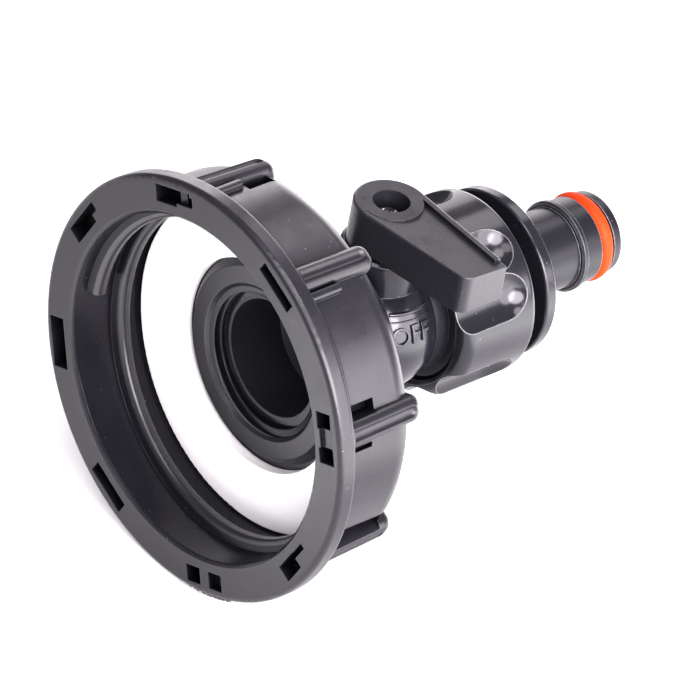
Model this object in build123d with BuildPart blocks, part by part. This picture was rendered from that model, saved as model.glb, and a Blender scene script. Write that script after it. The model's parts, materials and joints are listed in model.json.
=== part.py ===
# Tap adapter for a bulk liquid container: a screw cap for the tank's outlet, a small ball
# valve with a quarter-turn lever, and a quick-connect hose nipple held by a scalloped nut.
#
# X runs along the flow, from the open mouth of the cap to the tip of the nipple.
# Z is the valve stem, pointing up at the lever. The origin is the middle of the cap's
# open face. The valve is modelled shut, with its lever across the flow along -Y.
# All sizes are in millimetres and all angles in degrees.

import os
from math import atan2, cos, radians, sin, sqrt

from build123d import *

os.makedirs("parts", exist_ok=True)

# Fits shared by all the pieces
running_gap = 0.08
seal_gap = 0.05
thread_gap = 0.15

# Tank cap
mouth_r = 30.5
mouth_chamfer = 0.6
cap_wall = 3.4
flange_lip = 3.4
flange_thick = 3.4
flange_slope = 1.2
flange_blend = 2.0
flange_front_round = 1.0
flange_rear_round = 0.8
floor_depth = 17.0
floor_thick = 3.0
rear_round = 4.4
boss_wall = 4.95
boss_height = 1.8
boss_chamfer = 1.2
boss_lead_in = 0.7
rear_boss_wall = 3.35
rear_boss_length = 9.4

# Coarse thread inside the cap
tank_thread_pitch = 6.0
tank_thread_depth = 2.1
tank_thread_start = 4.6
tank_thread_base = 3.8
tank_thread_crest = 1.9
tank_thread_round = 0.9
tank_thread_root = 0.5
tank_thread_clear = 0.25
tank_thread_end_angle = 110.0

# Grip ribs round the cap, each with a valley along its crest and most with a short side ridge
rib_count = 8
rib_phase = 26.8
rib_width = 4.7
rib_height = 2.2
rib_fall = 0.8
rib_overrun = 0.2
rib_side_round = 1.8
rib_nose_round = 2.2
rib_valley_r = 1.3
rib_valley_depth = 0.6
rib_valley_margin = 2.4
side_ridge_width = 1.7
side_ridge_height = 1.2
side_ridge_length = 6.4
side_ridge_gap = 0.1
side_ridge_round = 0.6
ridged_ribs = [0, 1, 2, 5, 6, 7]

# Hollow cells sunk in the flange's face behind each rib, as the mould leaves them. Each is
# (offset along the rim, width, inner and outer distance from the mouth's wall, depth).
cell_floor = 0.4
cell_depth = flange_thick - cell_floor
cell_lag = 0.8
rim_cells = {
    0: [(-0.9, 7.2, 2.0, 5.0, cell_depth), (3.5, 1.8, 3.3, 5.0, cell_depth)],
    1: [
        (-2.1, 5.2, 2.1, 5.1, cell_depth),
        (2.2, 3.4, 2.7, 5.1, cell_depth / 3),
        (3.4, 2.2, 2.7, 4.5, cell_depth),
    ],
    2: [(0, 8.6, 2.7, 4.8, cell_depth)],
    3: [
        (-3.1, 3.0, 1.4, 4.7, cell_depth),
        (3.1, 2.6, 1.4, 4.9, cell_depth),
        (0.1, 3.6, 1.9, 4.8, cell_depth / 5),
    ],
    4: [(2.6, 5.0, 2.0, 4.9, cell_depth), (-1.6, 3.4, 2.1, 3.1, cell_depth)],
    5: [(3.3, 3.4, 2.1, 5.1, cell_depth), (-2.2, 3.2, 2.1, 5.1, cell_depth / 2)],
    6: [(0.2, 8.8, 2.2, 4.8, cell_depth)],
    7: [(0, 9.2, 1.9, 5.4, cell_depth)],
}

# Slots beside some ribs, where the mould's side cores left the wall hollow. Each is
# (offset along the rim, width, distance behind the flange, length, depth).
rib_slots = {
    1: [(3.8, 2.6, 7.0, 5.6, 1.9)],
    3: [(-3.3, 2.2, 0.9, 5.2, 2.4), (3.5, 0.9, 1.0, 4.3, 1.4)],
    4: [(-3.4, 3.2, 1.9, 10.5, 1.9)],
}

# Flat gasket, lying a little low on the cap's floor
gasket_thick = 2.4
gasket_rim_gap = 0.7
gasket_hole_gap = 0.7
gasket_sag = 0.45
gasket_round = 0.3

# Valve body
inlet_thread_r = 13.1
inlet_wall = 2.7
inlet_setback = 2.7
inlet_chamfer = 0.5
inlet_washer_thick = 1.2
inlet_washer_width = 1.35
shoulder_thick = 2.0
shoulder_lip = 1.7
shoulder_chamfer = 0.4
ball_setback = 7.2
housing_wall = 2.7
neck_wall = 1.5
outlet_thread_height = 2.0
outlet_thread_length = 8.4
outlet_lip = 1.5
outlet_chamfer = 0.5
bore_step = 0.9
bore_cone_length = 1.4
bore_land = 0.5

# Ball and seats
ball_r = 9.2
ball_bore_margin = 3.7
ball_play = 0.3
ball_slot_width = 3.0
ball_slot_depth = 2.4
seat_inset = 0.6
seat_back_inset = 0.3
seat_length = 3.7
seat_pocket_length = 2.3

# Seat carrier in the outlet
carrier_ring_setback = 2.5
carrier_tail = 3.7
carrier_slot_width = 2.6
carrier_slot_depth = 1.8
carrier_ring_wire_r = 0.66

# Stem
stem_r = 3.5
stem_collar_lip = 1.2
stem_collar_thick = 1.0
stem_washer_thick = 0.7
stem_lift = 0.5
stem_tongue_inset = 0.5
stem_tongue_play = 0.1
stem_square = 1.4 * stem_r
stem_square_length = 2.6
stem_ring_wire_r = 0.55
stem_ring_rises = {"lower_stem_o_ring": 1.4, "upper_stem_o_ring": 3.2}
groove_play = 0.15

# Turret on the housing, with the lever's stop groove
turret_wall = 3.72
turret_height = 4.9
turret_chamfer = 0.5
turret_flat_gap = 0.35
stop_groove_margin = 1.2
stop_groove_width = 1.5
stop_groove_depth = 1.3
stop_lug_direction = 90.0
stop_lug_angle = 24.0
stop_lug_play = 0.2
stop_play_angle = 2.0
lever_swing = 90.0

# Lever
lever_gap = 0.4
lever_height = 7.9
hub_inset = 0.8
hub_ring_inset = 1.0
arm_reach = 23.1
arm_near_tip = 3.7
arm_far_tip = 5.5
arm_near_corner = 2.0
arm_far_corner = 0.8
arm_underside_lift = 0.6
arm_wall = 1.7
arm_roof = 2.6
arm_dip = 0.7
grip_strip_width = 1.3
grip_strip_end = 1.7
lever_round = 0.5
socket_gap = 0.05

# Lever screw
screw_shank_r = 1.4
screw_head_lip = 1.3
screw_head_gap = 0.46
screw_head_height = 1.6
screw_head_round = 0.7
screw_hole_gap = 0.05
screw_web = 0.9
screw_tip_lift = 0.55
screw_tip_gap = 0.5
screw_cross_width = 0.7
screw_cross_span = 3.4
screw_cross_depth = 0.9

# Scalloped nut
nut_skirt = 3.15
nut_length = 16.4
nut_wall = 3.15
nut_front_round = 2.4
nut_rear_round = 1.0
nut_lead_in = 0.7
flute_cutter_r = 6.0
flute_depth = 2.1
flute_tip_setback = 1.9
flute_pairs = 4
flute_pair_phase = 122.0
flute_step = 30.0

# Hose nipple
nipple_washer_thick = 1.6
nipple_washer_rim_gap = 0.75
nipple_washer_hole_gap = 0.6
spigot_inset = 2.55
spigot_wall = 3.6
snap_ring_rim_gap = 0.65
snap_ring_thick = 1.4
snap_ring_setback = 0.6
snap_groove_depth = 1.0
snap_ring_mouth = 34.0
disc_gap = 3.5
disc_thick = 2.3
disc_lip = 4.4
disc_round = 0.4
nipple_neck_r = 7.2
nipple_neck_wall = 2.0
nipple_neck_length = 9.3
collar_lip = 1.8
collar_length = 1.8
collar_taper = 1.7
barrel_r = 7.65
barrel_wall = 3.65
barrel_length = 3.3
ridge_lip = 0.5
ridge_width = 1.5
ridge_chamfer = 0.4
nose_inset = 0.25
nose_length = 2.0
nose_round = 0.8
bore_taper = 2.0
o_ring_proud = 0.35
o_ring_wire_r = 1.45
o_ring_side_gap = 0.1

# Radii that follow from the sizes above
cap_r = mouth_r + cap_wall
flange_r = cap_r + flange_lip
boss_hole_r = inlet_thread_r + thread_gap
boss_r = boss_hole_r + boss_wall
rear_boss_r = boss_hole_r + rear_boss_wall
gasket_r = mouth_r - gasket_rim_gap
gasket_hole_r = boss_r + gasket_hole_gap
inlet_bore_r = inlet_thread_r - inlet_wall
shoulder_r = inlet_thread_r + shoulder_lip
cavity_r = ball_r + ball_play
housing_r = cavity_r + housing_wall
neck_r = cavity_r + neck_wall
outlet_thread_r = neck_r + outlet_thread_height
ball_bore_r = ball_r - ball_bore_margin
wall_bore_r = ball_bore_r + bore_step
seat_r = ball_r - seat_inset
seat_pocket_r = seat_r + 2 * seal_gap
carrier_r = cavity_r - 2 * seal_gap
carrier_ring_r = cavity_r - seal_gap - carrier_ring_wire_r
stem_bore_r = stem_r + running_gap
stem_collar_r = stem_r + stem_collar_lip
collar_bore_r = stem_collar_r + running_gap
stem_ring_r = stem_bore_r - seal_gap - stem_ring_wire_r
turret_r = stem_bore_r + turret_wall
stop_groove_in_r = stem_bore_r + stop_groove_margin
stop_groove_out_r = stop_groove_in_r + stop_groove_width
hub_r = turret_r - hub_inset
hub_ring_r = hub_r - hub_ring_inset
screw_head_r = screw_shank_r + screw_head_lip
hub_hole_r = screw_head_r + screw_head_gap
nut_bore_r = outlet_thread_r + thread_gap
nut_r = nut_bore_r + nut_skirt
spigot_r = nut_bore_r - spigot_inset
spigot_hole_r = spigot_r + thread_gap
spigot_bore_r = spigot_r - spigot_wall
snap_ring_r = nut_bore_r - snap_ring_rim_gap
disc_r = spigot_r + disc_lip
collar_r = nipple_neck_r + collar_lip
neck_bore_r = nipple_neck_r - nipple_neck_wall
ridge_r = barrel_r + ridge_lip
nose_r = barrel_r - nose_inset
tip_bore_r = barrel_r - barrel_wall
o_ring_r = barrel_r + o_ring_proud - o_ring_wire_r

# Stations along the flow
cap_length = floor_depth + floor_thick
tank_thread_end = floor_depth - gasket_thick - tank_thread_clear - tank_thread_base / 2
boss_front = floor_depth - boss_height
rear_boss_end = cap_length + rear_boss_length
shoulder_front = rear_boss_end + inlet_washer_thick
shoulder_rear = shoulder_front + shoulder_thick
stem_x = shoulder_rear + ball_setback
inlet_face = boss_front + inlet_setback
seat_back = ball_r - seat_back_inset
seat_back_in = stem_x - seat_back
seat_back_out = stem_x + seat_back
carrier_ring_x = seat_back_out + carrier_ring_setback
carrier_rear = carrier_ring_x + carrier_tail
outlet_face = carrier_rear + outlet_lip
outlet_thread_front = outlet_face - outlet_thread_length
nipple_end = outlet_face + nipple_washer_thick
snap_ring_front = nipple_end + snap_ring_setback
snap_ring_rear = snap_ring_front + snap_ring_thick
nut_wall_front = snap_ring_rear + 2 * running_gap
nut_rear = nut_wall_front + nut_wall
nut_front = nut_rear - nut_length
disc_front = nut_rear + disc_gap
disc_rear = disc_front + disc_thick
collar_rear = disc_rear + collar_length
neck_start = collar_rear + collar_taper
ridge_front = neck_start + nipple_neck_length
ridge_rear = ridge_front + ridge_width
groove_front = ridge_rear + barrel_length
groove_rear = groove_front + 2 * (o_ring_wire_r + o_ring_side_gap)
nipple_tip = groove_rear + nose_length

# Heights along the stem
collar_bottom = ball_r + stem_lift
collar_top = collar_bottom + stem_collar_thick
stem_shoulder = collar_top + stem_washer_thick
turret_top = stem_shoulder + turret_height
hub_bottom = turret_top + lever_gap
lever_top = hub_bottom + lever_height
arm_bottom = hub_bottom + arm_underside_lift
socket_top = hub_bottom + stem_square_length + socket_gap
screw_seat = socket_top + screw_web
screw_length = screw_seat - collar_top - screw_tip_lift


def half_section(*corners):
    """A closed outline in the XZ plane, its corners given as (place along the flow, radius)."""
    with BuildSketch(Plane.XZ) as section:
        with BuildLine():
            Polyline(*corners, close=True)
        make_face()
    return section.sketch


def stem_section(*corners):
    """A closed outline beside the stem axis, its corners given as (radius, height)."""
    return half_section(*[(stem_x + r, z) for r, z in corners])


def rim_plane(x, angle=0.0):
    """A plane square to the flow, its local y pointing outwards at this angle round the axis."""
    a = radians(angle)
    return Plane(origin=(x, 0, 0), x_dir=(0, sin(a), -cos(a)), z_dir=(1, 0, 0))


def stem_plane(height):
    """A plane square to the stem at this height, centred on the stem axis."""
    return Plane(origin=(stem_x, 0, height), x_dir=(1, 0, 0), z_dir=(0, 0, 1))


def rings_at(builder, x, r):
    """The circular edges of a part that lie at this place along the flow with this radius."""
    return builder.edges().filter_by(GeomType.CIRCLE).filter_by(
        lambda e: abs(e.radius - r) < 0.01 and abs(e.arc_center.X - x) < 0.01
    )


def save(builder, name):
    """Label a finished piece and write it under its own name."""
    builder.part.label = name
    export_step(builder.part, f"parts/{name}.step")


stem_axis = Axis((stem_x, 0, 0), (0, 0, 1))


# Tank cap: flanged cup with a coarse inner thread and a threaded boss through its floor
with BuildPart() as tank_thread:
    with BuildLine() as thread_path:
        Helix(
            pitch=tank_thread_pitch,
            height=tank_thread_end - tank_thread_start,
            radius=mouth_r,
            center=(tank_thread_start, 0, 0),
            direction=(1, 0, 0),
        )
    thread_curve = thread_path.edges()[0]
    thread_plane = Plane(origin=thread_curve @ 0, x_dir=(1, 0, 0), z_dir=thread_curve % 0)
    with BuildSketch(thread_plane) as thread_section:
        with BuildLine():
            Polyline(
                (-tank_thread_base / 2, tank_thread_root),
                (tank_thread_base / 2, tank_thread_root),
                (tank_thread_crest / 2, -tank_thread_depth),
                (-tank_thread_crest / 2, -tank_thread_depth),
                close=True,
            )
        make_face()
        fillet(thread_section.vertices().group_by(Axis.Y)[0], radius=tank_thread_round)
    sweep(is_frenet=True)
thread_turned = 360 * (tank_thread_end - tank_thread_start) / tank_thread_pitch
thread_shift = tank_thread_end_angle - 90 - thread_turned

with BuildPart() as grip_rib:
    rib_front = flange_thick / 2
    rib_rear = cap_length + rib_overrun
    rib_top_r = cap_r + rib_height
    rib_foot_r = (mouth_r + cap_r) / 2
    rib_heel_r = cap_r - rear_round
    with BuildSketch(Plane.XY) as rib_outline:
        with BuildLine():
            Polyline(
                (rib_front, rib_foot_r),
                (rib_front, rib_top_r),
                (rib_rear, rib_top_r - rib_fall),
                (rib_rear, rib_heel_r),
                (floor_depth, rib_heel_r),
                (floor_depth, rib_foot_r),
                close=True,
            )
        make_face()
        nose_corner = rib_outline.vertices().group_by(Axis.X)[-1].sort_by(Axis.Y)[-1]
        fillet(nose_corner, radius=rib_nose_round)
    extrude(amount=rib_width / 2, both=True)
    outer_edges = [
        e
        for e in grip_rib.edges().filter_by(lambda e: abs(abs(e.center().Z) - rib_width / 2) < 0.01)
        if e.center().X > rib_rear - rib_nose_round or e.center().Y > rib_top_r - rib_fall
        if e.center().X > rib_front and abs(e.center().X - floor_depth) > 0.01
        if e.center().Y > rib_foot_r or e.center().X > rib_rear - 0.01
    ]
    fillet(outer_edges, radius=rib_side_round)
    # Round valley along the crest, which falls with it towards the rear
    fall_angle = atan2(rib_fall, rib_rear - rib_front)
    valley_start = flange_thick + flange_slope
    valley_top_r = rib_top_r - rib_fall * (valley_start - rib_front) / (rib_rear - rib_front)
    valley_length = rib_rear - rib_valley_margin - valley_start
    valley_plane = Plane(
        origin=(valley_start, valley_top_r + rib_valley_r - rib_valley_depth, 0),
        x_dir=(0, 0, 1),
        z_dir=(cos(fall_angle), -sin(fall_angle), 0),
    )
    with BuildSketch(valley_plane):
        Circle(rib_valley_r)
    extrude(amount=valley_length, mode=Mode.SUBTRACT)
    with Locations(valley_plane.offset(valley_length).location):
        Sphere(rib_valley_r, mode=Mode.SUBTRACT)

# Short ridge beside a rib
with BuildPart() as side_ridge:
    ridge_offset = (rib_width + side_ridge_width) / 2 + side_ridge_gap
    side_ridge_top = sqrt(cap_r**2 - ridge_offset**2) + side_ridge_height
    with BuildSketch(rim_plane(rib_front)) as ridge_end:
        with Locations((-ridge_offset, (rib_foot_r + side_ridge_top) / 2)):
            Rectangle(side_ridge_width, side_ridge_top - rib_foot_r)
        fillet(ridge_end.vertices().group_by(Axis.Y)[-1], radius=side_ridge_round)
    extrude(amount=valley_start + side_ridge_length - rib_front)

with BuildPart() as tank_cap:
    revolve(
        half_section(
            (0, mouth_r + mouth_chamfer),
            (0, flange_r),
            (flange_thick, flange_r),
            (flange_thick + flange_slope, cap_r),
            (cap_length, cap_r),
            (cap_length, rear_boss_r),
            (rear_boss_end, rear_boss_r),
            (rear_boss_end, boss_hole_r),
            (boss_front + boss_lead_in, boss_hole_r),
            (boss_front, boss_hole_r + boss_lead_in),
            (boss_front, boss_r - boss_chamfer),
            (boss_front + boss_chamfer, boss_r),
            (floor_depth, boss_r),
            (floor_depth, mouth_r),
            (mouth_chamfer, mouth_r),
        ),
        axis=Axis.X,
    )
    fillet(rings_at(tank_cap, cap_length, cap_r), radius=rear_round)
    fillet(rings_at(tank_cap, flange_thick + flange_slope, cap_r), radius=flange_blend)
    fillet(rings_at(tank_cap, 0, flange_r), radius=flange_front_round)
    fillet(rings_at(tank_cap, flange_thick, flange_r), radius=flange_rear_round)
    for rib in range(rib_count):
        add(grip_rib.part.rotate(Axis.X, rib_phase + rib * 360 / rib_count))
        if rib in ridged_ribs:
            add(side_ridge.part.rotate(Axis.X, rib_phase + rib * 360 / rib_count))
    for rib, cells in rim_cells.items():
        cell_angle = rib_phase - cell_lag + rib * 360 / rib_count
        for offset, width, low, high, depth in cells:
            with BuildSketch(rim_plane(0, cell_angle)):
                with Locations((-offset, mouth_r + (low + high) / 2)):
                    Rectangle(width, high - low)
            extrude(amount=depth, mode=Mode.SUBTRACT)
    for rib, slots in rib_slots.items():
        for offset, width, start, length, depth in slots:
            slot_plane = rim_plane(valley_start + start, rib_phase + rib * 360 / rib_count)
            with BuildSketch(slot_plane):
                with Locations((-offset, cap_r - depth)):
                    Rectangle(width, depth + rib_height, align=(Align.CENTER, Align.MIN))
            extrude(amount=length, mode=Mode.SUBTRACT)
    add(tank_thread.part.rotate(Axis.X, thread_shift))
save(tank_cap, "tank_cap")

# Flat gasket: a plain soft ring that seals on the rim of the tank's outlet
with BuildPart() as cap_gasket:
    with BuildSketch(Plane.YZ.offset(floor_depth - gasket_thick)):
        with Locations((0, -gasket_sag)):
            Circle(gasket_r)
            Circle(gasket_hole_r, mode=Mode.SUBTRACT)
    extrude(amount=gasket_thick)
    fillet(cap_gasket.edges().filter_by(GeomType.CIRCLE), radius=gasket_round)
save(cap_gasket, "cap_gasket")

# Valve body: threaded inlet, round ball housing with a turret for the stem, threaded outlet
with BuildPart() as valve_body:
    revolve(
        half_section(
            (inlet_face, 0),
            (inlet_face, inlet_thread_r - inlet_chamfer),
            (inlet_face + inlet_chamfer, inlet_thread_r),
            (shoulder_front, inlet_thread_r),
            (shoulder_front, shoulder_r - shoulder_chamfer),
            (shoulder_front + shoulder_chamfer, shoulder_r),
            (shoulder_rear, shoulder_r),
            (shoulder_rear, neck_r),
            (outlet_thread_front, neck_r),
            (outlet_thread_front, outlet_thread_r - outlet_chamfer),
            (outlet_thread_front + outlet_chamfer, outlet_thread_r),
            (outlet_face - outlet_chamfer, outlet_thread_r),
            (outlet_face, outlet_thread_r - outlet_chamfer),
            (outlet_face, 0),
        ),
        axis=Axis.X,
    )
    with Locations((stem_x, 0, 0)):
        Sphere(housing_r)
    # The turret's side is flattened towards the nut, which turns close behind it
    turret_rim_z = turret_top - turret_chamfer
    with BuildSketch(stem_plane(turret_rim_z)) as turret_outline:
        Circle(turret_r)
        with Locations((nut_front - turret_flat_gap - stem_x, 0)):
            Rectangle(turret_r, 2 * turret_r, align=(Align.MIN, Align.CENTER), mode=Mode.SUBTRACT)
    extrude(amount=-turret_rim_z)
    extrude(turret_outline.sketch, amount=turret_chamfer, taper=45)
    # Waterway, seat pocket and ball cavity
    revolve(
        half_section(
            (inlet_face, 0),
            (inlet_face, inlet_bore_r),
            (seat_back_in - bore_land - bore_cone_length, inlet_bore_r),
            (seat_back_in - bore_land, wall_bore_r),
            (seat_back_in, wall_bore_r),
            (seat_back_in, seat_pocket_r),
            (seat_back_in + seat_pocket_length, seat_pocket_r),
            (seat_back_in + seat_pocket_length, cavity_r),
            (outlet_face, cavity_r),
            (outlet_face, 0),
        ),
        axis=Axis.X,
        mode=Mode.SUBTRACT,
    )
    # Stem bore, wider below for the stem's collar and its washer
    revolve(
        stem_section(
            (0, 0),
            (collar_bore_r, 0),
            (collar_bore_r, stem_shoulder),
            (stem_bore_r, stem_shoulder),
            (stem_bore_r, turret_top),
            (0, turret_top),
        ),
        axis=stem_axis,
        mode=Mode.SUBTRACT,
    )
    # Groove in the turret that stops the lever's lug at each end of its quarter turn
    revolve(
        stem_section(
            (stop_groove_in_r, turret_top - stop_groove_depth),
            (stop_groove_out_r, turret_top - stop_groove_depth),
            (stop_groove_out_r, turret_top),
            (stop_groove_in_r, turret_top),
        ).rotate(stem_axis, stop_lug_direction - stop_lug_angle / 2 - stop_play_angle),
        axis=stem_axis,
        revolution_arc=lever_swing + stop_lug_angle + 2 * stop_play_angle,
        mode=Mode.SUBTRACT,
    )
save(valve_body, "valve_body")

# Washer between the cap's rear boss and the shoulder of the valve body
with BuildPart() as inlet_washer:
    with BuildSketch(Plane.YZ.offset(rear_boss_end)):
        Circle(boss_hole_r + inlet_washer_width)
        Circle(boss_hole_r, mode=Mode.SUBTRACT)
    extrude(amount=inlet_washer_thick)
save(inlet_washer, "inlet_washer")

# Ball: bored across the flow while the valve is shut, slotted on top for the stem
with BuildPart() as ball:
    with Locations((stem_x, 0, 0)):
        Sphere(ball_r)
    with BuildSketch(Plane.XZ):
        with Locations((stem_x, 0)):
            Circle(ball_bore_r)
    extrude(amount=ball_r, both=True, mode=Mode.SUBTRACT)
    with BuildSketch(stem_plane(ball_r - ball_slot_depth)):
        Rectangle(2 * ball_r, ball_slot_width)
    extrude(amount=2 * ball_slot_depth, mode=Mode.SUBTRACT)
save(ball, "ball")

# Seats: a ring on each side of the ball, with a face that follows it
with BuildPart() as inlet_seat:
    revolve(
        half_section(
            (seat_back_in, wall_bore_r),
            (seat_back_in, seat_r),
            (seat_back_in + seat_length, seat_r),
            (seat_back_in + seat_length, wall_bore_r),
        ),
        axis=Axis.X,
    )
    with Locations((stem_x, 0, 0)):
        Sphere(ball_r + running_gap, mode=Mode.SUBTRACT)
save(inlet_seat, "inlet_seat")

with BuildPart() as outlet_seat:
    add(inlet_seat.part.mirror(Plane.YZ.offset(stem_x)))
save(outlet_seat, "outlet_seat")

# Seat carrier: screwed in behind the ball, with a ring groove and a slot for its driver
with BuildPart() as seat_carrier:
    lip_front = seat_back_out - seat_pocket_length
    ring_groove_half = carrier_ring_wire_r + groove_play
    ring_groove_r = carrier_ring_r - carrier_ring_wire_r - seal_gap
    revolve(
        half_section(
            (lip_front, seat_pocket_r),
            (lip_front, carrier_r),
            (carrier_ring_x - ring_groove_half, carrier_r),
            (carrier_ring_x - ring_groove_half, ring_groove_r),
            (carrier_ring_x + ring_groove_half, ring_groove_r),
            (carrier_ring_x + ring_groove_half, carrier_r),
            (carrier_rear, carrier_r),
            (carrier_rear, wall_bore_r),
            (seat_back_out, wall_bore_r),
            (seat_back_out, seat_pocket_r),
        ),
        axis=Axis.X,
    )
    with BuildSketch(Plane.YZ.offset(carrier_rear)):
        Rectangle(2 * cavity_r, carrier_slot_width)
    extrude(amount=-carrier_slot_depth, mode=Mode.SUBTRACT)
save(seat_carrier, "seat_carrier")

with BuildPart() as carrier_o_ring:
    with BuildSketch(Plane.XZ):
        with Locations((carrier_ring_x, carrier_ring_r)):
            Circle(carrier_ring_wire_r)
    revolve(axis=Axis.X)
save(carrier_o_ring, "carrier_o_ring")

# Stem: tongue in the ball's slot, collar, shaft with two ring grooves, square for the lever
with BuildPart() as stem:
    ring_grooves = []
    groove_half = stem_ring_wire_r + groove_play
    groove_floor_r = stem_ring_r - stem_ring_wire_r - seal_gap
    for rise in stem_ring_rises.values():
        ring_z = stem_shoulder + rise
        ring_grooves += [
            (stem_r, ring_z - groove_half),
            (groove_floor_r, ring_z - groove_half),
            (groove_floor_r, ring_z + groove_half),
            (stem_r, ring_z + groove_half),
        ]
    revolve(
        stem_section(
            (0, collar_bottom),
            (stem_collar_r, collar_bottom),
            (stem_collar_r, collar_top),
            (stem_r, collar_top),
            *ring_grooves,
            (stem_r, hub_bottom),
            (0, hub_bottom),
        ),
        axis=stem_axis,
    )
    tongue_bottom = ball_r - ball_slot_depth + stem_tongue_play
    with BuildSketch(stem_plane(tongue_bottom)):
        Rectangle(2 * (stem_collar_r - stem_tongue_inset), ball_slot_width - stem_tongue_play)
    extrude(amount=collar_bottom - tongue_bottom)
    with BuildSketch(stem_plane(hub_bottom)):
        Rectangle(stem_square, stem_square)
    extrude(amount=stem_square_length)
    with BuildSketch(stem_plane(screw_seat - screw_length - screw_tip_gap)):
        Circle(screw_shank_r + screw_hole_gap)
    extrude(amount=screw_length + screw_tip_gap, mode=Mode.SUBTRACT)
save(stem, "stem")

for name, rise in stem_ring_rises.items():
    with BuildPart() as stem_o_ring:
        with BuildSketch(Plane.XZ):
            with Locations((stem_x + stem_ring_r, stem_shoulder + rise)):
                Circle(stem_ring_wire_r)
        revolve(axis=stem_axis)
    save(stem_o_ring, name)

with BuildPart() as stem_washer:
    with BuildSketch(stem_plane(collar_top)):
        Circle(stem_collar_r)
        Circle(stem_bore_r, mode=Mode.SUBTRACT)
    extrude(amount=stem_washer_thick)
save(stem_washer, "stem_washer")

# Lever: round hub and tapered arm across the flow, with a raised grip strip on the far edge
with BuildPart() as lever_dip:
    strip_root = hub_r - grip_strip_width
    strip_tip = arm_far_tip - grip_strip_width
    with BuildSketch(stem_plane(lever_top - 2 * arm_dip)):
        with BuildLine():
            Polyline(
                (-2 * hub_r, 0),
                (-2 * hub_r, -arm_reach - hub_r),
                (2 * hub_r, -arm_reach - hub_r),
                (2 * hub_r, grip_strip_end - arm_reach),
                (strip_tip, grip_strip_end - arm_reach),
                (strip_root, 0),
                close=True,
            )
        make_face()
        Circle(hub_ring_r, mode=Mode.SUBTRACT)
    extrude(amount=4 * arm_dip)
    dip_slope = atan2(arm_dip, hub_r + strip_root)
    split(
        bisect_by=Plane(
            origin=(stem_x - hub_r, 0, lever_top),
            x_dir=(0, 1, 0),
            z_dir=(sin(dip_slope), 0, cos(dip_slope)),
        ),
        keep=Keep.TOP,
    )

with BuildPart() as lever:
    with BuildSketch(stem_plane(hub_bottom)):
        Circle(hub_r)
    extrude(amount=lever_top - hub_bottom)
    with BuildSketch(stem_plane(arm_bottom)) as arm_outline:
        Circle(hub_r)
        with Locations((-arm_near_tip, -arm_reach)):
            Rectangle(arm_near_tip + arm_far_tip, arm_wall / 2, align=Align.MIN)
        make_hull()
        tip_corners = arm_outline.vertices().group_by(Axis.Y)[0].sort_by(Axis.X)
        fillet(tip_corners[0], radius=arm_near_corner)
        fillet(tip_corners[1], radius=arm_far_corner)
    extrude(amount=lever_top - arm_bottom)
    fillet(lever.faces().sort_by(Axis.Z)[-1].edges(), radius=lever_round)
    add(lever_dip.part, mode=Mode.SUBTRACT)
    # Hollow underside of the arm
    with BuildSketch(stem_plane(arm_bottom)):
        with BuildLine():
            Polyline(
                (arm_wall - hub_r, -hub_r - arm_wall),
                (arm_wall - arm_near_tip, arm_wall - arm_reach),
                (arm_far_tip - arm_wall, arm_wall - arm_reach),
                (hub_r - arm_wall, -hub_r - arm_wall),
                close=True,
            )
        make_face()
    extrude(amount=lever_top - arm_roof - arm_bottom, mode=Mode.SUBTRACT)
    # Screw hole from above and square socket from below
    with BuildSketch(stem_plane(screw_seat)):
        Circle(hub_hole_r)
    extrude(amount=lever_top - screw_seat, mode=Mode.SUBTRACT)
    with BuildSketch(stem_plane(socket_top)):
        Circle(screw_shank_r + 2 * screw_hole_gap)
    extrude(amount=screw_web, mode=Mode.SUBTRACT)
    with BuildSketch(stem_plane(hub_bottom)):
        Rectangle(stem_square + 2 * socket_gap, stem_square + 2 * socket_gap)
    extrude(amount=socket_top - hub_bottom, mode=Mode.SUBTRACT)
    # Stop lug that runs in the turret's groove
    revolve(
        stem_section(
            (stop_groove_in_r + stop_lug_play, turret_top - stop_groove_depth + stop_lug_play),
            (stop_groove_out_r - stop_lug_play, turret_top - stop_groove_depth + stop_lug_play),
            (stop_groove_out_r - stop_lug_play, hub_bottom + arm_underside_lift),
            (stop_groove_in_r + stop_lug_play, hub_bottom + arm_underside_lift),
        ).rotate(stem_axis, stop_lug_direction - stop_lug_angle / 2),
        axis=stem_axis,
        revolution_arc=stop_lug_angle,
    )
save(lever, "lever")

# Screw that holds the lever down on the stem
with BuildPart() as lever_screw:
    with BuildSketch(stem_plane(screw_seat)):
        Circle(screw_head_r)
    extrude(amount=screw_head_height)
    fillet(lever_screw.faces().sort_by(Axis.Z)[-1].edges(), radius=screw_head_round)
    with BuildSketch(stem_plane(screw_seat)):
        Circle(screw_shank_r)
    extrude(amount=-screw_length)
    chamfer(lever_screw.faces().sort_by(Axis.Z)[0].edges(), length=screw_shank_r / 2)
    with BuildSketch(stem_plane(screw_seat + screw_head_height)):
        Rectangle(screw_cross_span, screw_cross_width)
        Rectangle(screw_cross_width, screw_cross_span)
    extrude(amount=-screw_cross_depth, mode=Mode.SUBTRACT)
save(lever_screw, "lever_screw")

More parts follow.
